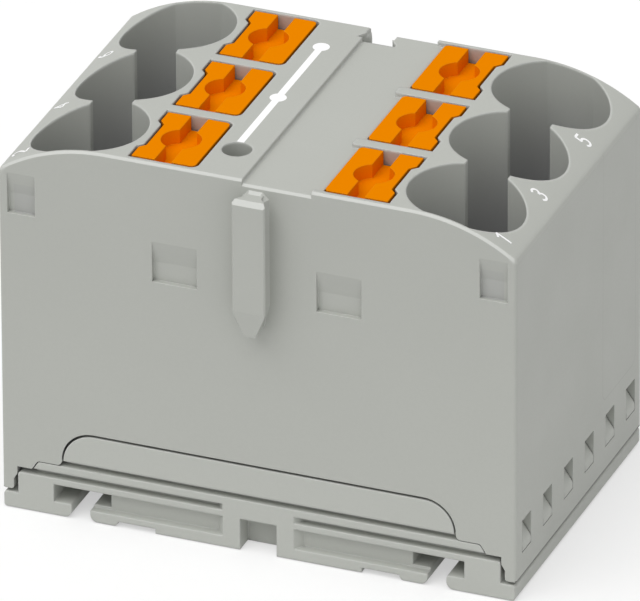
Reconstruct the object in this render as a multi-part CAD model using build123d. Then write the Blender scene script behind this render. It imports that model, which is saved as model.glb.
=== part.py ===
from build123d import *
import math
import os

os.makedirs("parts", exist_ok=True)

# A distribution block: one copper bar feeds six push-in cable clamps, three
# along each side, and the orange push-button beside each entry opens its clamp.
# X runs along the front, Y from the front to the back and Z up from the rail
# side. The origin is the middle of the underside. Sizes are in millimetres.

# Overall form of the block
rows = 3
row_pitch = 12.2
body_width = 57.5
body_height = 43.7
crown_flat = 34.0
crown_radius = 20.0
corner_radius = 0.35
crown_edge = 0.25

# Walls and clearances
end_wall = 1.65
front_wall = 1.2
thin_wall = 0.45
partition = 1.3
core_wall = 1.2
roof = 2.0
seat_gap = 0.1
slip_gap = 0.15
button_gap = 0.33
travel_gap = 0.3

# Cable entries
funnel_radius = 6.2
passage_radius = 4.0
neck_width = 4.7
funnel_floor = 28.0
passage_top = 25.0
chamber_top = 21.6
chamber_end = 0.9

# Push-buttons
button_length = 7.0
button_width = 10.2
button_corner = 0.5
button_travel = 3.0
notch_depth = 0.6
notch_floor = 4.9
notch_mouth = 6.2
notch_wall = 0.77
dimple_radius = 2.15
dimple_depth = 1.65
tool_slot = 1.9
button_wall = 1.2
lug_reach = 0.6
lug_width = 3.0
lug_height = 2.0
foot_length = 2.0
foot_width = 7.0

# Top face: sunk channel and test hole
channel_floor = 0.5
channel_left = -1.57
channel_bar = 1.05
test_hole_inset = 2.7
test_hole_radius = 1.6
test_hole_depth = 14.0
probe_radius = 1.2
boss_radius = 2.8

# Joining key on the front, with its groove in the back
key_reach = 2.3
key_width = 3.7
key_corner = 0.18
key_neck = 1.9
key_neck_reach = 0.9
key_front_edge = 0.5
key_side_edge = 0.25
key_drop = 1.3
key_root_width = 2.9
key_root_reach = 0.85
key_root_rise = 0.25
key_root_slant = 0.7
key_length = 15.85
key_taper = 2.95
key_tip_width = 1.2
key_tip_step = 0.3
groove_mouth = 2.5
groove_gap = 0.2
groove_lead = 0.4
groove_lead_depth = 1.0
groove_length = 18.1

# Latch pockets on the front, with matching noses on the back
outer_pocket = 3.1
outer_pocket_edge = 0.95
outer_pocket_drop = 4.1
inner_pocket = 5.0
inner_pocket_x = 9.15
inner_pocket_drop = 9.15
pocket_height = 4.7
pocket_crease = 0.54
pocket_depth = 0.55
latch_reach = 0.4
latch_gap = 0.2

# Lower edge of the housing
side_foot = 2.2
leg_thickness = 1.25
leg_step = 3.4
leg_inset = 4.07
leg_corner = 0.3
edge_low = 4.95
edge_high = 6.0
edge_level = 2.7
edge_slant = 0.7
edge_fillet = 0.4
arch_half = 22.05
arch_corner = 3.6
arch_top = 10.3
arch_fillet = 0.55

# Base plate
slab_gap = 0.1
slab_top = 4.3
slab_corner = 0.25
flange_gap = 0.15
flange_top = 1.8
flange_corner = 0.3
groove_sink = 1.0
pillar_half = 3.93
pillar_slant = 0.88
strip_low = 5.05
strip_top = 5.9
strip_gap = 0.2
strip_corner = 0.3
panel_low = 6.6
panel_gap = 0.2
panel_corner = 3.4
base_wall = 2.3
lap_reach = 2.55
lap_top = 9.4
pocket_low = 1.25
slot_low = 1.55
slot_high = 3.6
slot_x = 19.95
slot_wide = 6.1
slot_mouth = 2.1
slot_lip = 0.25
toe_corner = 0.8
relief_near = 11.55
relief_far = 15.8
relief_height = 0.55
notch_half = 2.05
notch_top = 3.65
notch_sink = 2.25
rib_width = 1.6
rib_end = 2.7

# Snap windows in the end walls and the fingers that fill them
window_width = 2.65
window_low = 4.85
window_high = 8.65
nose_gap = 0.12
nose_face = 0.78
nose_slope = 1.5
nose_round = 0.9
finger_thickness = 1.15
finger_width = 3.4
finger_gap = 0.25

# Copper bar
bar_low = arch_top
bar_thickness = 1.5
bar_gap = 0.1
bar_slot = 1.6
bar_slot_start = 8.0
tongue_width = 9.0
tongue_top = 21.3
bend_radius = 1.0

# Clamp cages and springs
sheet = 0.6
cage_width = 9.8
cage_gap = 0.2
cage_top = 21.2
cage_nose = 14.6
cage_shoulder = 16.5
pin_height = 18.2
spring_thickness = 0.6
spring_width = 8.0
spring_bend = 2.1
spring_lean = 25.0
spring_foot = 0.4
tip_gap = 0.2

# Places that follow from the sizes above
half_width = body_width / 2
body_depth = rows * row_pitch
half_depth = body_depth / 2
row_places = [(row - (rows - 1) / 2) * row_pitch for row in range(rows)]
wall_places = [place + row_pitch / 2 for place in row_places[:-1]]
inner_width = half_width - end_wall
inner_depth = half_depth - front_wall
funnel_x = inner_width - funnel_radius
button_out = funnel_x - funnel_radius - notch_wall - button_gap + notch_depth
button_in = button_out - button_length
button_x = button_in + button_length / 2
channel_right = button_in - channel_bar
test_hole_x = test_hole_inset - button_in
key_top = body_height - key_drop
key_tip = key_top - key_length
key_shoulder = key_tip + key_taper
groove_floor = body_height - groove_length
groove_depth = key_reach + groove_gap
chamber_in = button_in - lug_reach - cage_gap
chamber_step = button_out + button_gap + slip_gap / 2
chamber_out = inner_width - chamber_end
chamber_half = (row_pitch - partition) / 2
bar_top = bar_low + bar_thickness
cavity_top = bar_top + seat_gap
bar_half = chamber_out - bar_gap
tongue_in = bar_half - bar_thickness
cage_in = chamber_in + cage_gap
cage_out = tongue_in - cage_gap
cage_floor = bar_top + sheet
head_low = cage_top + button_travel + travel_gap
lug_high = head_low + lug_height + lug_reach
well_floor = lug_high + seat_gap
spring_x = cage_in + sheet + spring_thickness / 2
pin_x = spring_x + spring_bend
edge_inner = arch_half + edge_level
edge_outer = edge_inner + edge_slant
strip_half = edge_outer - strip_gap
strip_slant = edge_slant * (strip_top - strip_low) / (edge_high - edge_low)
lap_half = arch_half + lap_reach
slab_half = inner_width - slab_gap
flange_half = half_width - flange_gap
finger_face = inner_width - finger_gap
nose_low = window_low + nose_gap
nose_top = nose_low + nose_face + nose_slope * (half_width - finger_face)
rib_half = slab_half - rib_end
outer_pocket_x = half_width - outer_pocket_edge - outer_pocket / 2
panel_half = arch_half - panel_gap
panel_top = arch_top - panel_gap - seat_gap


def along_y(sketch, near, far):
    """Carry a sketch drawn in X and Z from one Y to another."""
    return extrude(Plane.XZ.offset(-far) * sketch, far - near)


def along_x(sketch, near, far):
    """Carry a sketch drawn in Y and Z from one X to another."""
    return extrude(Plane.YZ.offset(near) * sketch, far - near)


def along_z(sketch, low, high):
    """Carry a plan sketch from one height to another."""
    return extrude(Plane.XY.offset(low) * sketch, high - low)


def block(x_span, y_span, z_span):
    """Plain block between two values on each axis."""
    spans = (x_span, y_span, z_span)
    middle = [(low + high) / 2 for low, high in spans]
    return Pos(*middle) * Box(*[high - low for low, high in spans])


def outline(*points):
    """Closed face through a few corner points."""
    return make_face(Polyline(*points, close=True))


def rounded(face, radius, *corners):
    """Round the corners of a face that lie at the given points."""
    for corner in corners:
        vertex = face.vertices().sort_by_distance(Vector(*corner))[0]
        face = fillet(vertex, radius)
    return face


def both_sides(shape):
    """The shape with its mirror image on the other side of X = 0."""
    return shape + mirror(shape, about=Plane.YZ)


def front_and_back(shape):
    """The shape with its mirror image on the other side of Y = 0."""
    return shape + mirror(shape, about=Plane.XZ)


def crown_block():
    """Outer form: a flat crown that rounds down to both ends."""
    flat = crown_flat / 2
    drop = crown_radius - math.sqrt(crown_radius**2 - (half_width - flat) ** 2)
    shoulder = (half_width, body_height - drop)
    crown = TangentArc((flat, body_height), shoulder, tangent=(1, 0))
    border = [
        Line((0, body_height), (flat, body_height)),
        crown,
        Line(shoulder, (half_width, side_foot)),
        Line((half_width, side_foot), (0, side_foot)),
        Line((0, side_foot), (0, body_height)),
    ]
    half = make_face(Curve() + border)
    shape = along_y(half + mirror(half, about=Plane.YZ), -half_depth, half_depth)
    plan = RectangleRounded(body_width, body_depth, corner_radius)
    shape &= along_z(plan, side_foot, body_height)
    low = body_height - drop - corner_radius
    rim = [
        edge
        for edge in shape.edges()
        if edge.center().Z > low and abs(abs(edge.center().X) - flat) > seat_gap
    ]
    return chamfer(rim, crown_edge)


def button_outline(grow=0):
    """Plan of a push-button, notched beside the entry, or of its well."""
    plan = Pos(button_x, 0) * Rectangle(button_length, button_width)
    inner = plan.vertices().sort_by(Axis.X)[:2]
    plan = fillet(inner, button_corner)
    bottom = button_out - notch_depth
    notch = outline(
        (bottom, -notch_floor / 2),
        (button_out, -notch_mouth / 2),
        (button_out, notch_mouth / 2),
        (bottom, notch_floor / 2),
    )
    plan -= notch
    return offset(plan, grow, kind=Kind.INTERSECTION) if grow else plan


def funnel_bank():
    """Three cable entries that a neck joins, with a cone down to each passage."""
    length = row_places[-1] - row_places[0]
    plan = Pos(funnel_x, 0) * Rectangle(neck_width, length)
    for place in row_places:
        plan += Pos(funnel_x, place) * Circle(funnel_radius)
    depth = body_depth - 2 * thin_wall
    plan &= Pos(funnel_x, 0) * Rectangle(2 * funnel_radius, depth)
    bank = along_z(plan, funnel_floor, body_height)
    section = outline(
        (0, chamber_top),
        (passage_radius, chamber_top),
        (passage_radius, passage_top),
        (funnel_radius - thin_wall, funnel_floor),
        (0, funnel_floor),
    )
    cone = revolve(Plane.XZ * section, Axis.Z)
    for place in row_places:
        bank += Pos(funnel_x, place) * cone
    return bank


def clamp_chambers():
    """Room for three clamps, with the higher step under each push-button."""
    section = outline(
        (chamber_in, cavity_top),
        (chamber_out, cavity_top),
        (chamber_out, chamber_top),
        (chamber_step, chamber_top),
        (chamber_step, well_floor),
        (chamber_in, well_floor),
    )
    room = along_y(section, -chamber_half, chamber_half)
    well = along_z(button_outline(button_gap), well_floor, body_height)
    return [Pos(0, place) * (room + well) for place in row_places]


def top_channel():
    """Shallow channel along the crown that runs on to the right-hand wells."""
    low = body_height - channel_floor
    mouth = outline(
        (-half_depth, low - crown_edge), (crown_edge - half_depth, low), (-half_depth, low)
    )
    channel = block(
        (channel_left, channel_right), (-half_depth, half_depth), (low, body_height)
    )
    reach = button_width / 2 + button_gap
    for place in row_places:
        channel += block(
            (channel_left, button_in), (place - reach, place + reach), (low, body_height)
        )
    return channel + front_and_back(along_x(mouth, channel_left, channel_right))


def core():
    """Hollow middle between the two banks, with ribs and the test hole's boss."""
    half = chamber_in - core_wall
    back = half_depth - groove_depth - front_wall
    top = body_height - channel_floor - roof
    hollow = block((-half, half), (-inner_depth, back), (cavity_top, top))
    for place in wall_places:
        ribs = (place - partition / 2, place + partition / 2)
        hollow -= block((-half, half), ribs, (cavity_top, top))
    boss = along_z(Circle(boss_radius), cavity_top, top)
    return hollow - Pos(test_hole_x, row_places[0]) * boss


def test_hole():
    """Stepped hole for a test probe, down to the bar."""
    step = body_height - test_hole_depth
    wide = along_z(Circle(test_hole_radius), step, body_height)
    narrow = along_z(Circle(probe_radius), cavity_top, step)
    return Pos(test_hole_x, row_places[0]) * (wide + narrow)


def base_opening():
    """Room under the housing for the base: legs, lower edges and front arch."""
    inner_leg = half_width - leg_thickness
    leg = outline(
        (inner_leg, side_foot),
        (half_width, side_foot),
        (half_width, leg_inset),
        (inner_width, leg_inset),
        (inner_leg, leg_step),
    )
    leg = rounded(leg, leg_corner, (inner_leg, side_foot))
    half = outline(
        (0, 0),
        (half_width, 0),
        (half_width, leg_inset),
        (inner_width, leg_inset),
        (inner_width, edge_low),
        (edge_outer, edge_low),
        (edge_inner, edge_high),
        (arch_half, edge_high),
        (arch_half, arch_top),
        (0, arch_top),
    )
    half = rounded(half, arch_corner, (arch_half, arch_top))
    half = rounded(half, arch_fillet, (arch_half, edge_high))
    half = rounded(half, edge_fillet, (edge_inner, edge_high)) - leg
    return along_y(half + mirror(half, about=Plane.YZ), -half_depth, half_depth)


def window_rows():
    """Y of each snap window: two for every row of clamps."""
    count = 2 * rows
    return [(place - (count - 1) / 2) * row_pitch / 2 for place in range(count)]


def key_outline(width, top, edge):
    """Front view of the key: a tapered foot, and slanted corners at the top."""
    half = width / 2
    return outline(
        (-half, key_shoulder),
        (-key_tip_width / 2, key_tip),
        (key_tip_width / 2, key_tip),
        (half, key_shoulder),
        (half, top - edge),
        (half - edge, top),
        (edge - half, top),
        (-half, top - edge),
    )


def key_root():
    """Low root of the key, which narrows from the wall to the neck."""
    face = key_outline(key_root_width, key_top + key_root_rise, key_root_slant)
    slope = math.atan2(key_root_width - key_neck, 2 * key_root_reach)
    return extrude(Plane.XZ * face, key_root_reach, taper=math.degrees(slope))


def joining_key():
    """Dovetail key: a narrow neck on a low root, with a wider head in front."""
    neck = key_neck / 2
    head = key_width / 2
    plan = outline(
        (-neck, front_wall / 2),
        (-neck, -key_neck_reach),
        (-head, key_corner - key_reach),
        (key_corner - head, -key_reach),
        (head - key_corner, -key_reach),
        (head, key_corner - key_reach),
        (neck, -key_neck_reach),
        (neck, front_wall / 2),
    )
    key = along_z(plan, key_tip, key_top)
    front = key_outline(key_width, key_top, key_side_edge)
    key &= along_y(front, -key_reach, front_wall)
    side = outline(
        (front_wall, key_tip),
        (key_tip_step - key_reach, key_tip),
        (-key_reach, key_shoulder),
        (-key_reach, key_top - key_front_edge),
        (key_front_edge - key_reach, key_top),
        (front_wall, key_top),
    )
    key &= along_x(side, -key_width, key_width)
    return Pos(0, -half_depth) * (key + key_root())


def joining_groove():
    """Room for the key of a neighbouring block, open at the top."""
    mouth = groove_mouth / 2
    head = key_width / 2 + groove_gap
    lip = key_neck_reach + groove_gap
    spread = key_root_width / 2 + seat_gap - mouth
    spread_depth = 2 * spread * key_root_reach / (key_root_width - key_neck)
    plan = outline(
        (-mouth - spread, 0),
        (-mouth, -spread_depth),
        (-mouth, -lip),
        (-head, key_corner - key_reach),
        (-head, -groove_depth),
        (head, -groove_depth),
        (head, key_corner - key_reach),
        (mouth, -lip),
        (mouth, -spread_depth),
        (mouth + spread, 0),
    )
    groove = along_z(plan, groove_floor, body_height)
    lead = outline(
        (-mouth - groove_lead, body_height),
        (-mouth, body_height - groove_lead_depth),
        (mouth, body_height - groove_lead_depth),
        (mouth + groove_lead, body_height),
    )
    groove += along_y(lead, -lip, 0)
    return Pos(0, half_depth) * groove


def latch_wedges(depth, shrink):
    """Wedges beside the key: a ramp to the crease, then flat to the ledge."""
    wedges = []
    outer = (outer_pocket_x, outer_pocket, outer_pocket_drop)
    inner = (inner_pocket_x, inner_pocket, inner_pocket_drop)
    for x, width, drop in (outer, inner):
        top = body_height - drop
        low = top - pocket_height
        crease = top - pocket_crease * pocket_height
        side = outline(
            (0, top - shrink),
            (-depth, crease),
            (-depth, low + shrink),
            (0, low + shrink),
        )
        half = width / 2 - shrink
        for side_x in (-x, x):
            wedges.append(along_x(side, side_x - half, side_x + half))
    return wedges


def partition_legs():
    """Partitions carried down through the bar's slots to stand on the base."""
    legs = []
    half = partition / 2
    for place in wall_places:
        leg = block(
            (bar_slot_start + half, edge_inner), (place - half, place + half), (slab_top, cavity_top)
        )
        legs += [leg, mirror(leg, about=Plane.YZ)]
    return legs


def housing():
    """Moulded housing: entries and wells on top, clamp chambers open below."""
    shape = crown_block()
    shape -= block(
        (-inner_width, inner_width), (-inner_depth, inner_depth), (0, cavity_top)
    )
    shape -= base_opening()
    shape -= top_channel()
    shape -= both_sides(funnel_bank())
    for room in clamp_chambers():
        shape -= both_sides(room)
    shape -= core()
    shape -= test_hole()
    for place in window_rows():
        window = block(
            (inner_width, half_width),
            (place - window_width / 2, place + window_width / 2),
            (window_low, window_high),
        )
        shape -= both_sides(window)
    shape += partition_legs()
    shape -= joining_groove()
    shape += joining_key()
    for wedge in latch_wedges(pocket_depth, 0):
        shape -= Pos(0, -half_depth) * mirror(wedge, about=Plane.XZ)
    for wedge in latch_wedges(latch_reach, latch_gap):
        shape += Pos(0, half_depth) * mirror(wedge, about=Plane.XZ)
    return shape


def rail_section():
    """Front view of the slab and flange, with T-slots for the rail's feet."""
    half = Pos(slab_half / 2, slab_top / 2) * Rectangle(slab_half, slab_top)
    half += Pos(flange_half / 2, flange_top / 2) * Rectangle(flange_half, flange_top)
    half -= Pos(slot_x, (slot_low + slot_high) / 2) * Rectangle(slot_wide, slot_high - slot_low)
    half -= Pos(slot_x, slot_low / 2) * Rectangle(slot_mouth, slot_low)
    middle = (relief_near + relief_far) / 2
    half -= Pos(middle, relief_height / 2) * Rectangle(relief_far - relief_near, relief_height)
    near = slot_x - slot_mouth / 2
    far = slot_x + slot_mouth / 2
    half = rounded(half, slot_lip, (near, slot_low), (far, slot_low))
    half = rounded(half, toe_corner, (near, 0), (far, 0))
    half = rounded(half, relief_height - seat_gap, (relief_far, 0))
    half = rounded(half, slab_corner, (slab_half, slab_top))
    half = rounded(half, flange_corner, (flange_half, flange_top), (flange_half, 0))
    return half + mirror(half, about=Plane.YZ)


def front_pockets():
    """Long pockets in the slab's edge that run from the pillar to the slots."""
    far = slot_x - slot_mouth / 2
    plan = outline(
        (pillar_half, -half_depth),
        (far, -half_depth),
        (far, -half_depth + groove_sink),
        (pillar_half + pillar_slant, -half_depth + groove_sink),
    )
    return both_sides(along_z(plan, pocket_low, slot_high))


def front_grooves():
    """Shadow grooves below the strip and round the foot of the arched panel."""
    plan = outline(
        (pillar_half, -half_depth),
        (half_width, -half_depth),
        (half_width, -half_depth + groove_sink),
        (pillar_half + pillar_slant, -half_depth + groove_sink),
    )
    lower = both_sides(along_z(plan, slab_top, strip_low))
    upper = block(
        (-arch_half, arch_half),
        (-half_depth, -half_depth + groove_sink),
        (strip_top, panel_low),
    )
    return lower + upper


def front_panel():
    """Strip and arched panel that close the housing's front."""
    strip = outline(
        (-strip_half, slab_top),
        (strip_half, slab_top),
        (strip_half, strip_low),
        (strip_half - strip_slant, strip_top),
        (strip_slant - strip_half, strip_top),
        (-strip_half, strip_low),
    )
    strip_end = strip_half - strip_slant
    strip = rounded(strip, strip_corner, (strip_end, strip_top), (-strip_end, strip_top))
    panel = outline(
        (-panel_half, strip_top),
        (panel_half, strip_top),
        (panel_half, panel_top),
        (-panel_half, panel_top),
    )
    panel = fillet(panel.vertices().sort_by(Axis.Y)[-2:], panel_corner)
    wall = along_y(strip + panel, -half_depth, -half_depth + base_wall)
    lap = block(
        (-lap_half, lap_half),
        (-inner_depth + slip_gap, -half_depth + base_wall),
        (slab_top, lap_top),
    )
    return wall + lap - front_grooves()


def snap_finger():
    """Upright finger with the nose that fills a window in the end wall."""
    back = finger_face - finger_thickness
    half_finger = finger_width / 2
    finger = block((back, finger_face), (-half_finger, half_finger), (slab_top, nose_top))
    nose = outline(
        (back, nose_low),
        (half_width, nose_low),
        (half_width, nose_low + nose_face),
        (finger_face, nose_top),
        (back, nose_top),
    )
    nose = rounded(nose, nose_round, (half_width, nose_low + nose_face))
    half = window_width / 2 - nose_gap
    return finger + along_y(nose, -half, half)


def base_plate():
    """Base with rail slots, front and back panels, bar ribs and snap fingers."""
    plate = along_y(rail_section(), -half_depth, half_depth)
    plate -= front_and_back(front_pockets())
    notch = block((-notch_half, notch_half), (-half_depth, notch_sink - half_depth), (0, notch_top))
    plate -= front_and_back(notch)
    plate += front_and_back(front_panel())
    for place in row_places:
        rib = (place - rib_width / 2, place + rib_width / 2)
        plate += block((-rib_half, rib_half), rib, (slab_top, bar_low))
    for place in window_rows():
        plate += both_sides(Pos(0, place) * snap_finger())
    return plate


def current_bar():
    """Copper bar: a comb-shaped web with a bent-up tongue at every clamp."""
    reach = row_places[-1] + tongue_width / 2
    plan = Rectangle(2 * bar_half - 2 * bend_radius, 2 * reach)
    for place in wall_places:
        cut = Rectangle(bar_half - bar_slot_start, bar_slot)
        cut = Pos((bar_slot_start + bar_half) / 2, place) * cut
        plan -= both_sides(cut)
    bar = along_z(plan, bar_low, bar_top)
    section = outline(
        (tongue_in - bend_radius, bar_low),
        (bar_half, bar_low),
        (bar_half, tongue_top),
        (tongue_in, tongue_top),
        (tongue_in, bar_top),
        (tongue_in - bend_radius, bar_top),
    )
    heel = section.vertices().sort_by_distance(Vector(bar_half, bar_low))[0]
    section = fillet(heel, bend_radius)
    for place in row_places:
        tongue = along_y(section, place - tongue_width / 2, place + tongue_width / 2)
        bar += both_sides(tongue)
    return bar


def clamp_cage():
    """Folded steel cage: floor, back and two cheeks with the spring's pin."""
    half = cage_width / 2
    wall = outline(
        (cage_in, bar_top),
        (cage_out, bar_top),
        (cage_out, cage_nose),
        (cage_shoulder, cage_top),
        (cage_in, cage_top),
    )
    cage = along_y(wall, -half, half)
    cage -= block(
        (cage_in + sheet, cage_out), (sheet - half, half - sheet), (cage_floor, cage_top)
    )
    pin = Pos(pin_x, pin_height) * Circle(spring_bend - spring_thickness / 2 - seat_gap)
    return cage + along_y(pin, -half, half)


def spring_line():
    """Middle line of the spring: holding leg, bend over the pin, clamping leg."""
    lean = math.radians(spring_lean)
    foot = (spring_x, cage_floor + spring_foot)
    top = (spring_x, pin_height)
    turn = CenterArc((pin_x, pin_height), spring_bend, 180, -(90 + spring_lean))
    start = turn @ 1
    tip_x = tongue_in - tip_gap - spring_thickness / 2 * math.sin(lean)
    tip = (tip_x, start.Y - (tip_x - start.X) * math.tan(lean))
    return Line(foot, top), turn, Line(start, tip)


def clamp_spring():
    """Leaf spring bent over the cage's pin."""
    strip = trace(Curve() + list(spring_line()), spring_thickness)
    return along_y(strip, -spring_width / 2, spring_width / 2)


def release_button():
    """Push-button: notched head with a screwdriver slot, lug and sloped foot."""
    head = along_z(button_outline(), head_low, body_height)
    pocket_high = body_height - dimple_depth - 2 * button_wall
    foot_in = button_out - foot_length
    hollow = block(
        (button_in + button_wall, foot_in),
        (button_wall - button_width / 2, button_width / 2 - button_wall),
        (head_low, pocket_high),
    )
    head -= hollow
    floor = body_height - dimple_depth
    head -= Pos(button_x, 0) * along_z(Circle(dimple_radius), floor, body_height)
    half_slot = tool_slot / 2
    head -= block(
        (button_x - half_slot, button_x + half_slot),
        (-button_width, button_width),
        (floor, body_height),
    )
    head += block(
        (button_in - lug_reach, button_in),
        (-lug_width / 2, lug_width / 2),
        (lug_high - lug_height, lug_high),
    )
    leg = spring_line()[2]
    lean = math.radians(spring_lean)
    lift = (spring_thickness / 2 + travel_gap) / math.cos(lean)
    low = [(leg @ 0).Y - (x - (leg @ 0).X) * math.tan(lean) + lift for x in (foot_in, button_out)]
    foot = outline(
        (foot_in, low[0]),
        (button_out, low[1]),
        (button_out, head_low + button_wall),
        (foot_in, head_low + button_wall),
    )
    return head + along_y(foot, -foot_width / 2, foot_width / 2)


def save(shape, name):
    """Write one piece as a single solid to its own file."""
    solid = shape.solids()[0] if isinstance(shape, (Compound, ShapeList)) else shape
    export_step(solid, "parts/" + name + ".step")
    print(name, round(solid.volume, 1), len(shape.solids()))


save(housing(), "housing")
save(base_plate(), "base_plate")
save(current_bar(), "current_bar")
for side_name, turned in (("right", False), ("left", True)):
    for make in (clamp_cage, clamp_spring, release_button):
        piece = make()
        piece = mirror(piece, about=Plane.YZ) if turned else piece
        for number, place in enumerate(row_places, 1):
            save(Pos(0, place) * piece, f"{make.__name__}_{side_name}_{number}")
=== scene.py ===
import math

import bmesh
import bpy
from mathutils import Matrix, Vector


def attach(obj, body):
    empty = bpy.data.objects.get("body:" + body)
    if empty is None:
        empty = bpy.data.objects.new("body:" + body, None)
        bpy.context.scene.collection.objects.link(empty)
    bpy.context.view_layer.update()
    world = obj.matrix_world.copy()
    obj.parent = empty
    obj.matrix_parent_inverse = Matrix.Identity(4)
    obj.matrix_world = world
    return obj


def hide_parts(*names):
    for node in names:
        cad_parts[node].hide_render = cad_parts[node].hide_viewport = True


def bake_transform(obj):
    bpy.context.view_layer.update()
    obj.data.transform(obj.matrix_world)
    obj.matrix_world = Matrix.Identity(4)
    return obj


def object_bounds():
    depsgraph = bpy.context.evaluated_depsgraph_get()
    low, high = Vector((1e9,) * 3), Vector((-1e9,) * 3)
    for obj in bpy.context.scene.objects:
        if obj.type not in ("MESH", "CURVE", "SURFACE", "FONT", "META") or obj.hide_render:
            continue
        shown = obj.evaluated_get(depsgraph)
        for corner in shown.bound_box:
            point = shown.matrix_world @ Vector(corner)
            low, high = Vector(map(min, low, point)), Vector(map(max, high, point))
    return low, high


# Looks of the distribution block: moulded grey plastic with white print, orange
# push-buttons, and the metal parts behind the entries. Sizes are in metres.

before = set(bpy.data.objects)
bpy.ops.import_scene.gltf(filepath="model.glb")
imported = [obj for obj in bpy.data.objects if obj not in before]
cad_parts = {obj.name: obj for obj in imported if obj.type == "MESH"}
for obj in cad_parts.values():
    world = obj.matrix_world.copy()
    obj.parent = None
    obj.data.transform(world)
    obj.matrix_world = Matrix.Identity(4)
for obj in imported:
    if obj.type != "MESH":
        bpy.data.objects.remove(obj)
cad_low, cad_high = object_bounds()

# Camera: a long lens, almost without perspective
VIEW_AZIMUTH = math.radians(21.681)
VIEW_ELEVATION = math.radians(28.359)
VIEW_ROLL = math.radians(0.296)
VIEW_LENS = 990.2
VIEW_SENSOR = 36
VIEW_AIM = Vector((0.004542, -0.011971, 0.027574))
VIEW_DISTANCE = 1.824
VIEW_FAR = 10

# Studio: an even sky, a soft sun from the front left, a weak one from the right,
# and a floor. To the camera the sky and the floor look white.
SKY = 0.5
SKY_SEEN = 1.0
SUN = 1.75
SUN_FROM = Vector((-0.2, -0.42, 1.0))
FILL = 0.22
FILL_FROM = Vector((0.8, -0.6, 0.25))
LIGHT_ANGLE = math.radians(60)
FLOOR_TONE = 0.75
FLOOR_GLOW = 0.5
FLOOR_SIZE = 2.0
FLOOR_DROP = 0.0001

# Colours, linear
WHITE = (1.0, 1.0, 1.0)
GREY = (0.472, 0.483, 0.449)
# Lighter grey painted on edges and chamfers as a highlight
GREY_HIGHLIGHT = (0.60, 0.61, 0.58)
GREY_BASE = (0.495, 0.507, 0.472)
ORANGE = (0.83, 0.235, 0.0)
# Lighter orange painted on the buttons' edges as a highlight
ORANGE_HIGHLIGHT = (0.9, 0.30, 0.01)
COPPER = (0.80, 0.42, 0.25)
COPPER_DARK = (0.52, 0.22, 0.12)
CAGE_STEEL = (0.60, 0.59, 0.56)
CAGE_DARK = (0.40, 0.39, 0.37)
SPRING_STEEL = (0.66, 0.66, 0.67)
SPRING_DARK = (0.42, 0.42, 0.44)

# Roughness, and how strongly the plastics shine
HOUSING_ROUGH = 0.48
BASE_ROUGH = 0.5
BUTTON_ROUGH = 0.55
COPPER_ROUGH = 0.32
CAGE_ROUGH = 0.35
SPRING_ROUGH = 0.25
GREY_SHINE = 0.2
BUTTON_SHINE = 0.0

# Noises, each with its scale and detail, and the part of a noise that counts
CLOUDS = (45, 3.0)
SMUDGES = (160, 4.0)
GRAIN = (2500, 2.0)
INK_GRAIN = (1800, 3.0)
OXIDE = (350, 3.0)
ROLLING = (1.0, 3.0)
NOISE_RANGE = (0.3, 0.7)
SPECK_RANGE = (0.35, 0.65)
OXIDE_RANGE = (0.4, 0.75)
ROLLING_RANGE = (0.35, 0.65)

# Plastic: how much each noise changes its colour, roughness and height
CLOUD_TONES = (0.985, 1.015)
SMUDGE_ROUGH = 0.05
GRAIN_ROUGH = 0.02
GRAIN_BUMP = 0.000006
SPECK_SHARE = 0.12
SPECK_TONE = 0.93

# Painted light from below: between these heights the plastic grows a little lighter
# downwards
TONE_TOP = 0.04
TONE_LOW = 0.008
LOW_LIGHT_SHARE = 0.5
LOW_LIGHT_TONE = 1.08

# Sheet metal: dull oxide, bright edges, and fine lines along its rolling, for
# which the noise is stretched along X or Y
ALONG_X = (60, 5000, 5000)
ALONG_Y = (5000, 60, 5000)
OXIDE_SHARE = 0.6
OXIDE_ROUGH = 0.12
ROLLING_SHARE = 0.1
ROLLING_ROUGH = (-0.03, 0.04)
ROLLING_BUMP = 0.0000004
METAL_EDGE = 0.0001
METAL_EDGE_TONE = 1.15

# White ink
INK_TONES = (0.96, 1.0)
INK_ROUGH = (0.5, 0.62)
INK_BUMP = 0.000002
INK_EDGE = 0.00002
INK_EDGE_TONE = 0.97

# Edge radii of the plastic, and where the wider ones are
FINE_EDGE = 0.00012
BASE_EDGE = 0.00028
BUTTON_EDGE = 0.00015
RIM_EDGE = 0.00045
END_EDGE = 0.0008
TOP_FROM = 0.039
TOP_REACH = 0.018
END_FROM = 0.0278
BLEND = 0.0002

# A point is on an edge when the rounded normal turns away from the face's, as
# their cosine says, and on a slope when the product of the normal's Y and Z does
EDGE_RANGE = (0.99, 0.85)
SLOPE_RANGE = (0.25, 0.4)

# Painted shade in narrow gaps: how far to look, how shut in they are and how dark the shade
# is painted
CREVICE_SIZE = 0.0008
CREVICE_RANGE = (0.5, 0.1)
CREVICE_SHADE_TONE = 0.45

# Samples of the nodes that look round a point for edges and gaps
NODE_SAMPLES = 8

# Cable entries, painted with shade that grows darker and more neutral towards their floors
ENTRY_FROM = 0.0146
ENTRY_TO = 0.0272
ENTRY_TOP = 0.0405
ENTRY_DEPTH = 0.0125
ENTRY_SHADE = (0.37, 0.37, 0.375)

# Faint outline of a shallow panel on the end walls
PANEL_MIDDLE = (0, 0.01175, 0.0353)
PANEL_HALF = (1, 0.0038, 0.0237)
PANEL_CORNER = 0.001
PANEL_LINE = 0.00006
PANEL_TONE = 0.93
END_WALL = 0.0286

# Painted shade of the gap along the foot of each end wall
SEAM_LEVEL = 0.0022
SEAM_REACH = 0.00013
SEAM_SHADE_TONE = 0.3

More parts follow.
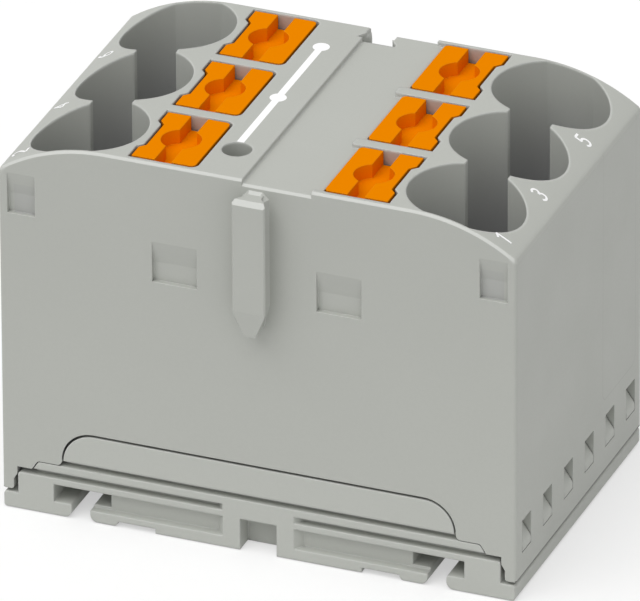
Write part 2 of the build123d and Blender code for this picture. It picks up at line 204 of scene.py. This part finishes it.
# Printed line with its two dots, on the crown
LINE_X = -0.00478
LINE_HALF = 0.00039
LINE_FRONT = -0.0106
LINE_BACK = 0.0122
DOT_PLACES = (0.0, LINE_BACK)
DOT_RADIUS = 0.0009
PRINT_LEVEL = 0.0435

# Crown, as the part has it: flat in the middle, round towards both ends
CROWN_TOP = cad_high[2]
CROWN_FLAT = 0.017
CROWN_RADIUS = 0.020

# Printed numbers: size, how proud they lie, and their places
DIGIT_HEIGHT = 0.0017
DIGIT_STROKE = 0.00026
DIGIT_PROUD = 0.00002
RIGHT_LINE = 0.0274
LEFT_LINE = -0.02635
RIGHT_PLACES = (-0.0164, -0.0060, 0.0068)
LEFT_PLACES = (-0.0160, -0.00505, 0.00735)
STROKE_STEPS = 12

# Each number's strokes in a box one high: straight runs, and arcs given by
# their middle, their two radii and their two angles in degrees
NUMBERS = {
    1: [("run", (0.08, 0.74), (0.36, 0.97)), ("run", (0.36, 1.0), (0.36, 0.0))],
    2: [
        ("arc", (0.31, 0.72), (0.25, 0.25), (170, -38)),
        ("run", (0.52, 0.58), (0.06, 0.05)),
        ("run", (0.04, 0.04), (0.60, 0.04)),
    ],
    3: [
        ("arc", (0.29, 0.75), (0.23, 0.22), (155, -90)),
        ("arc", (0.29, 0.28), (0.26, 0.25), (90, -155)),
    ],
    4: [
        ("run", (0.46, 0.0), (0.46, 1.0)),
        ("run", (0.46, 0.96), (0.05, 0.30)),
        ("run", (0.02, 0.27), (0.62, 0.27)),
    ],
    5: [
        ("run", (0.55, 0.95), (0.13, 0.95)),
        ("run", (0.14, 0.97), (0.10, 0.50)),
        ("arc", (0.30, 0.31), (0.26, 0.28), (138, -150)),
    ],
    6: [
        ("arc", (0.32, 0.30), (0.25, 0.26), (0, 360)),
        ("arc", (0.55, 0.36), (0.48, 0.60), (98, 180)),
    ],
}

# Clamp springs, measured out from the middle of the block: where the clamping
# leg starts to bend, where it is fully down, where the button's foot ends, and
# past the tip
ROWS = (1, 2, 3)
SIDES = {"right": 1, "left": -1}
SPRING_START = 0.01075
SPRING_FOOT = 0.0144
SPRING_TIP = 0.0245
SPRING_STEPS = 10
WELD = 0.000001
SHARP_ANGLE = math.radians(30)


class Material:
    """A node material. Most of its methods add nodes and return their output."""

    single_values = ("DOT_PRODUCT", "DISTANCE", "LENGTH")

    def __init__(self, name):
        self.data = bpy.data.materials.new(name)
        self.data.use_nodes = True
        self.tree = self.data.node_tree
        self.shader = self.tree.nodes["Principled BSDF"]
        self.colour = None

    def feed(self, socket, value):
        """Link an output to the socket, or set a plain value on it."""
        if isinstance(value, bpy.types.NodeSocket):
            self.tree.links.new(value, socket)
        else:
            socket.default_value = value

    def node(self, kind, inputs, **settings):
        node = self.tree.nodes.new("ShaderNode" + kind)
        for name, value in settings.items():
            setattr(node, name, value)
        for socket, value in inputs.items():
            self.feed(node.inputs[socket], value)
        return node

    def surface(self, **values):
        """Feed the shader's own sockets."""
        for name, value in values.items():
            self.feed(self.shader.inputs[name.replace("_", " ")], value)

    def paint(self, share, colour):
        """Lay a colour over the present one, as far as the share says."""
        self.colour = self.mix(share, self.colour, colour)
        self.surface(Base_Color=self.colour)

    def place(self):
        """Coordinates fixed to the object, in metres."""
        return self.node("TexCoord", {}).outputs["Object"]

    def face(self):
        """Normal of the face itself."""
        return self.node("NewGeometry", {}).outputs["True Normal"]

    def axes(self, vector):
        """The vector's parts along X, Y and Z."""
        return self.node("SeparateXYZ", {0: vector}).outputs

    def stretched(self, vector, scale):
        inputs = {"Vector": vector, "Scale": scale}
        return self.node("Mapping", inputs).outputs["Vector"]

    def noise(self, vector, scale, detail):
        inputs = {"Vector": vector, "Scale": scale, "Detail": detail}
        return self.node("TexNoise", inputs).outputs["Fac"]

    def ramp(self, value, limits, to_low=0.0, to_high=1.0):
        """The value, carried from its own two limits to two others."""
        low, high = limits
        inputs = {
            "Value": value,
            "From Min": low,
            "From Max": high,
            "To Min": to_low,
            "To Max": to_high,
        }
        return self.node("MapRange", inputs, clamp=True).outputs["Result"]

    def math(self, operation, first, second=0.0):
        inputs = {0: first, 1: second}
        return self.node("Math", inputs, operation=operation).outputs[0]

    def vector(self, operation, first, second=(0, 0, 0)):
        inputs = {0: first, 1: second}
        output = "Value" if operation in self.single_values else "Vector"
        return self.node("VectorMath", inputs, operation=operation).outputs[output]

    def mix(self, share, first, second):
        """Mix of two colours."""
        inputs = {"Factor": share, 6: first, 7: second}
        return self.node("Mix", inputs, data_type="RGBA").outputs[2]

    def within(self, value, middle, reach):
        """One where the value lies near the middle, else zero."""
        inputs = {0: value, 1: middle, 2: reach}
        return self.node("Math", inputs, operation="COMPARE").outputs[0]

    def soft_edges(self, radius):
        """Normal that rounds the edges, and how much a point belongs to one."""
        bevel = self.node("Bevel", {"Radius": radius}, samples=NODE_SAMPLES)
        normal = bevel.outputs["Normal"]
        alike = self.vector("DOT_PRODUCT", normal, self.face())
        return normal, self.ramp(alike, EDGE_RANGE)

    def chamfers(self):
        """Faces that slope between the top and the front or back, where a highlight is
        painted.
        """
        _, y, z = self.axes(self.face())
        slope = self.math("MULTIPLY", self.math("ABSOLUTE", y), z)
        return self.ramp(slope, SLOPE_RANGE)

    def crevice_shade(self):
        """Narrow gaps and inner corners, where the moulding gets painted shade."""
        inputs = {"Distance": CREVICE_SIZE}
        open_air = self.node("AmbientOcclusion", inputs, samples=NODE_SAMPLES)
        return self.ramp(open_air.outputs["AO"], CREVICE_RANGE)

    def bump(self, height, depth, normal):
        inputs = {"Height": height, "Distance": depth, "Strength": 1.0, "Normal": normal}
        return self.node("Bump", inputs).outputs["Normal"]


def shade(colour, factor=1):
    """The colour, lighter or darker by a factor."""
    return (*[value * factor for value in colour], 1)


def edge_size(material):
    """Edge radius: fine, wider round the top openings, widest at the crown's ends."""
    x, y, z = material.axes(material.place())
    top = material.ramp(z, (TOP_FROM, TOP_FROM + BLEND))
    rim = material.math("MULTIPLY", top, material.within(y, 0.0, TOP_REACH))
    across = material.math("ABSOLUTE", x)
    outer = material.ramp(across, (END_FROM, END_FROM + BLEND))
    end = material.math("MULTIPLY", top, outer)
    size = material.ramp(rim, (0.0, 1.0), FINE_EDGE, RIM_EDGE)
    return material.math("MAXIMUM", size, material.math("MULTIPLY", end, END_EDGE))


def moulded(name, colour, highlight_colour, roughness, shine, edge_radius=None):
    """Moulded plastic: faint clouds, fine grain, rounded edges with a painted highlight,
    painted light from below, painted shade in gaps.
    """
    material = Material(name)
    place = material.place()
    grain = material.noise(place, *GRAIN)
    normal, edge = material.soft_edges(edge_radius or edge_size(material))
    cloud = material.ramp(material.noise(place, *CLOUDS), NOISE_RANGE)
    # Share of painted light from below, growing towards the bottom
    low = material.ramp(material.axes(place)["Z"], (TONE_TOP, TONE_LOW), 0.0, LOW_LIGHT_SHARE)
    speck = material.ramp(grain, SPECK_RANGE, 0.0, SPECK_SHARE)
    # Edges and chamfers, where a highlight is painted
    edge_highlight = material.math("MAXIMUM", edge, material.chamfers())
    material.colour = material.mix(cloud, *[shade(colour, tone) for tone in CLOUD_TONES])
    # Painted light from below
    material.paint(low, shade(colour, LOW_LIGHT_TONE))
    material.paint(speck, shade(colour, SPECK_TONE))
    # Painted highlight on edges and chamfers
    material.paint(edge_highlight, shade(highlight_colour))
    # Painted shade in narrow gaps and inner corners
    material.paint(material.crevice_shade(), shade(colour, CREVICE_SHADE_TONE))
    limits = (roughness - SMUDGE_ROUGH, roughness + SMUDGE_ROUGH)
    rough = material.ramp(material.noise(place, *SMUDGES), NOISE_RANGE, *limits)
    uneven = material.ramp(grain, NOISE_RANGE, -GRAIN_ROUGH, GRAIN_ROUGH)
    material.surface(
        Roughness=material.math("ADD", rough, uneven),
        Normal=material.bump(grain, GRAIN_BUMP, normal),
        Specular_IOR_Level=shine,
    )
    return material


def entry_depth(material):
    """How deep a point lies in a cable entry, from zero at its rim to one."""
    x, y, z = material.axes(material.place())
    across = material.math("ABSOLUTE", x)
    middle = (ENTRY_FROM + ENTRY_TO) / 2
    inside = material.within(across, middle, ENTRY_TO - middle)
    inside = material.math("MULTIPLY", inside, material.within(y, 0.0, TOP_REACH))
    depth = material.ramp(z, (ENTRY_TOP, ENTRY_TOP - ENTRY_DEPTH))
    return material.math("MULTIPLY", depth, inside)


def on_end_walls(material, mark):
    """The mark, kept on the two end walls alone."""
    across = material.math("ABSOLUTE", material.axes(material.place())["X"])
    outer = material.math("GREATER_THAN", across, END_WALL)
    return material.math("MULTIPLY", mark, outer)


def panel_line(material):
    """Outline of the shallow panel on each end wall."""
    away = material.vector("SUBTRACT", material.place(), PANEL_MIDDLE)
    away = material.vector("SUBTRACT", material.vector("ABSOLUTE", away), PANEL_HALF)
    reach = material.vector("LENGTH", material.vector("MAXIMUM", away))
    return on_end_walls(material, material.within(reach, PANEL_CORNER, PANEL_LINE))


def foot_gap_shade(material):
    """Painted shade of the gap along the foot of each end wall, over the base's flange."""
    level = material.axes(material.place())["Z"]
    return on_end_walls(material, material.within(level, SEAM_LEVEL, SEAM_REACH))


def printed_line(material):
    """Line with its dots on the crown."""
    x, y, z = material.axes(material.place())
    middle = (LINE_FRONT + LINE_BACK) / 2
    across = material.within(x, LINE_X, LINE_HALF)
    along = material.within(y, middle, LINE_BACK - middle)
    mark = material.math("MULTIPLY", across, along)
    for spot in DOT_PLACES:
        reach = material.vector("DISTANCE", material.place(), (LINE_X, spot, CROWN_TOP))
        dot = material.math("LESS_THAN", reach, DOT_RADIUS)
        mark = material.math("MAXIMUM", mark, dot)
    return material.math("MULTIPLY", mark, material.math("GREATER_THAN", z, PRINT_LEVEL))


def sheet_metal(name, colour, dark, rolled, roughness):
    """Rolled sheet metal: fine lines along its rolling, spots of dull oxide."""
    material = Material(name)
    place = material.place()
    lines = material.noise(material.stretched(place, rolled), *ROLLING)
    spots = material.noise(place, *OXIDE)
    normal, edge = material.soft_edges(METAL_EDGE)
    material.colour = shade(colour)
    material.paint(material.ramp(spots, OXIDE_RANGE, 0.0, OXIDE_SHARE), shade(dark))
    material.paint(material.ramp(lines, ROLLING_RANGE, 0.0, ROLLING_SHARE), shade(dark))
    material.paint(edge, shade(colour, METAL_EDGE_TONE))
    limits = [roughness + change for change in ROLLING_ROUGH]
    rough = material.ramp(lines, NOISE_RANGE, *limits)
    uneven = material.ramp(spots, OXIDE_RANGE, 0.0, OXIDE_ROUGH)
    material.surface(
        Metallic=1.0,
        Roughness=material.math("ADD", rough, uneven),
        Normal=material.bump(lines, ROLLING_BUMP, normal),
    )
    return material


def white_print():
    """Screen-printed white ink, a little uneven."""
    material = Material("white_print")
    grain = material.noise(material.place(), *INK_GRAIN)
    normal, edge = material.soft_edges(INK_EDGE)
    material.colour = material.mix(grain, *[shade(WHITE, tone) for tone in INK_TONES])
    material.paint(edge, shade(WHITE, INK_EDGE_TONE))
    material.surface(
        Roughness=material.ramp(grain, NOISE_RANGE, *INK_ROUGH),
        Normal=material.bump(grain, INK_BUMP, normal),
    )
    return material


def dress(prefix, material):
    """Give a material to every CAD node whose name starts with the prefix."""
    for name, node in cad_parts.items():
        if name.startswith(prefix):
            node.data.materials.clear()
            node.data.materials.append(material.data)


def dress_housing():
    """Grey plastic with painted shade in the entries and at the foot of the end walls, fine
    lines on the end walls, and the print.
    """
    material = moulded("grey_housing", GREY, GREY_HIGHLIGHT, HOUSING_ROUGH, GREY_SHINE)
    # Painted shade, deeper into the entries
    material.paint(entry_depth(material), shade(ENTRY_SHADE))
    material.paint(panel_line(material), shade(GREY, PANEL_TONE))
    # Painted shade of the gap at the foot of the end walls
    material.paint(foot_gap_shade(material), shade(GREY, SEAM_SHADE_TONE))
    material.paint(printed_line(material), shade(WHITE))
    dress("housing", material)


def dress_other_nodes():
    """Base plate, push-buttons, copper bar and clamp cages."""
    base = moulded("grey_base", GREY_BASE, GREY_HIGHLIGHT, BASE_ROUGH, GREY_SHINE, BASE_EDGE)
    dress("base_plate", base)
    finish = (BUTTON_ROUGH, BUTTON_SHINE, BUTTON_EDGE)
    dress("release_button", moulded("orange_button", ORANGE, ORANGE_HIGHLIGHT, *finish))
    copper = sheet_metal("copper", COPPER, COPPER_DARK, ALONG_X, COPPER_ROUGH)
    dress("current_bar", copper)
    cage = sheet_metal("cage_steel", CAGE_STEEL, CAGE_DARK, ALONG_Y, CAGE_ROUGH)
    dress("clamp_cage", cage)


def add_object(name, data):
    made = bpy.data.objects.new(name, data)
    bpy.context.scene.collection.objects.link(made)
    return made


def keep_stretch(shape, sign, near, far):
    """Keep what lies between two distances from the middle, cut into even steps."""
    for step in range(SPRING_STEPS + 1):
        level = near + (far - near) * step / SPRING_STEPS
        bmesh.ops.bisect_plane(
            shape,
            geom=[*shape.verts, *shape.edges, *shape.faces],
            plane_co=(sign * level, 0, 0),
            plane_no=(sign, 0, 0),
            clear_inner=step == 0,
            clear_outer=step == SPRING_STEPS,
        )
    open_edges = [edge for edge in shape.edges if edge.is_boundary]
    bmesh.ops.holes_fill(shape, edges=open_edges)


def spring_piece(name, side, row, near, far, material):
    """Piece of a clamp spring, from one distance to the other."""
    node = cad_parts[f"clamp_spring_{side}_{row}"]
    shape = bmesh.new()
    shape.from_mesh(node.data)
    bmesh.ops.remove_doubles(shape, verts=shape.verts, dist=WELD)
    keep_stretch(shape, SIDES[side], near, far)
    mesh = bpy.data.meshes.new(f"spring_{name}_{side}_{row}")
    shape.to_mesh(mesh)
    shape.free()
    mesh.shade_smooth()
    mesh.set_sharp_from_angle(angle=SHARP_ANGLE)
    mesh.materials.append(material.data)
    piece = add_object(mesh.name, mesh)
    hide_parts(node.name)
    return piece


def flexing_spring(side, row, material):
    """Clamp spring in three pieces: its bend, fixed to the block, the leg that the button
    pushes down, and the tip.
    """
    bend = spring_piece("bend", side, row, 0, SPRING_START, material)
    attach(bend, "block")
    leg = spring_piece("leg", side, row, SPRING_START, SPRING_FOOT, material)
    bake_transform(leg)
    end = spring_piece("tip", side, row, SPRING_FOOT, SPRING_TIP, material)
    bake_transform(end)


def flexing_springs():
    material = sheet_metal("spring_steel", SPRING_STEEL, SPRING_DARK, ALONG_Y, SPRING_ROUGH)
    for row in ROWS:
        for side in SIDES:
            flexing_spring(side, row, material)


def crown_height(x):
    """Height of the crown over a place across the block."""
    over = max(abs(x) - CROWN_FLAT, 0)
    return CROWN_TOP - CROWN_RADIUS + math.sqrt(CROWN_RADIUS**2 - over**2)


def stroke_path(kind, *values):
    """Points along a straight run or an arc."""
    steps = [step / STROKE_STEPS for step in range(STROKE_STEPS + 1)]
    if kind == "run":
        start, end = map(Vector, values)
        return [start.lerp(end, step) for step in steps]
    (x, y), (wide, high), (first, last) = values
    angles = [math.radians(first + (last - first) * step) for step in steps]
    return [
        Vector((x + wide * math.cos(angle), y + high * math.sin(angle))) for angle in angles
    ]


def add_stroke(vertices, faces, path, width):
    """Ribbon of a stroke's width along its path."""
    first = len(vertices)
    for index, point in enumerate(path):
        ahead = path[min(index + 1, len(path) - 1)] - path[max(index - 1, 0)]
        side = Vector((-ahead.y, ahead.x)).normalized() * width / 2
        vertices += [point + side, point - side]
    for index in range(first, len(vertices) - 2, 2):
        faces.append((index + 2, index + 3, index + 1, index))


def printed_number(number, line, place, material):
    """A number on the crown, its top towards the left end of the block."""
    vertices = []
    faces = []
    for stroke in NUMBERS[number]:
        add_stroke(vertices, faces, stroke_path(*stroke), DIGIT_STROKE / DIGIT_HEIGHT)
    across = [point.x for point in vertices]
    middle = (min(across) + max(across)) / 2
    places = []
    for point in vertices:
        x = line - point.y * DIGIT_HEIGHT
        y = place + (point.x - middle) * DIGIT_HEIGHT
        places.append((x, y, crown_height(x) + DIGIT_PROUD))
    mesh = bpy.data.meshes.new(f"number_{number}")
    mesh.from_pydata(places, [], faces)
    mesh.materials.append(material.data)
    piece = add_object(mesh.name, mesh)
    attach(piece, "block")


def printed_numbers():
    """Odd numbers beside the right entries, even ones beside the left."""
    material = white_print()
    for row, (right, left) in enumerate(zip(RIGHT_PLACES, LEFT_PLACES)):
        printed_number(2 * row + 1, RIGHT_LINE, right, material)
        printed_number(2 * row + 2, LEFT_LINE, left, material)


def photo_camera():
    """Camera at the photograph's angle and zoom."""
    data = bpy.data.cameras.new("photo_camera")
    data.lens = VIEW_LENS
    data.sensor_width = VIEW_SENSOR
    data.clip_end = VIEW_FAR
    camera = add_object(data.name, data)
    turn = Matrix.Rotation(VIEW_AZIMUTH, 4, "Z")
    tilt = Matrix.Rotation(math.pi / 2 - VIEW_ELEVATION, 4, "X")
    roll = Matrix.Rotation(-VIEW_ROLL, 4, "Z")
    back = Matrix.Translation((0, 0, VIEW_DISTANCE))
    camera.matrix_world = Matrix.Translation(VIEW_AIM) @ turn @ tilt @ roll @ back
    bpy.context.scene.camera = camera


def seen_rays(tree):
    """One for rays that show the background: to the camera, in gloss and in glass."""
    rays = tree.nodes.new("ShaderNodeLightPath")
    seen = rays.outputs["Is Camera Ray"]
    for kind in ("Is Glossy Ray", "Is Transmission Ray"):
        either = tree.nodes.new("ShaderNodeMath")
        either.operation = "MAXIMUM"
        tree.links.new(seen, either.inputs[0])
        tree.links.new(rays.outputs[kind], either.inputs[1])
        seen = either.outputs[0]
    return seen


def floor_material():
    """Pale floor that keeps a soft shadow and looks white to the camera."""
    material = Material("floor")
    seen = seen_rays(material.tree)
    tone = material.ramp(seen, (0.0, 1.0), FLOOR_TONE, 1 - FLOOR_GLOW)
    colour = material.node("CombineColor", {0: tone, 1: tone, 2: tone}).outputs[0]
    material.surface(
        Base_Color=colour,
        Roughness=1.0,
        Specular_IOR_Level=0.0,
        Emission_Color=shade(WHITE),
        Emission_Strength=material.ramp(seen, (0.0, 1.0), 0.0, FLOOR_GLOW),
    )
    return material


def pale_floor():
    far = FLOOR_SIZE
    corners = [(-far, -far, 0), (far, -far, 0), (far, far, 0), (-far, far, 0)]
    mesh = bpy.data.meshes.new("floor")
    mesh.from_pydata(corners, [], [(0, 1, 2, 3)])
    mesh.materials.append(floor_material().data)
    floor = add_object(mesh.name, mesh)
    floor.location.z = -FLOOR_DROP


def soft_light(name, strength, source):
    """Distant light that is as soft as a large lamp."""
    light = bpy.data.lights.new(name, "SUN")
    light.energy = strength
    light.angle = LIGHT_ANGLE
    lamp = add_object(name, light)
    lamp.rotation_mode = "QUATERNION"
    lamp.rotation_quaternion = source.to_track_quat("Z", "Y")


def even_sky():
    """Sky of one strength, stronger for the rays that show it."""
    world = bpy.data.worlds.new("studio")
    bpy.context.scene.world = world
    world.use_nodes = True
    tree = world.node_tree
    back = tree.nodes["Background"]
    back.inputs["Color"].default_value = shade(WHITE)
    strength = tree.nodes.new("ShaderNodeMapRange")
    strength.inputs["To Min"].default_value = SKY
    strength.inputs["To Max"].default_value = SKY_SEEN
    tree.links.new(seen_rays(tree), strength.inputs["Value"])
    tree.links.new(strength.outputs["Result"], back.inputs["Strength"])


def studio():
    bpy.context.scene.view_settings.view_transform = "Standard"
    even_sky()
    soft_light("sun", SUN, SUN_FROM)
    soft_light("fill", FILL, FILL_FROM)
    pale_floor()


dress_housing()
dress_other_nodes()
flexing_springs()
printed_numbers()
photo_camera()
studio()
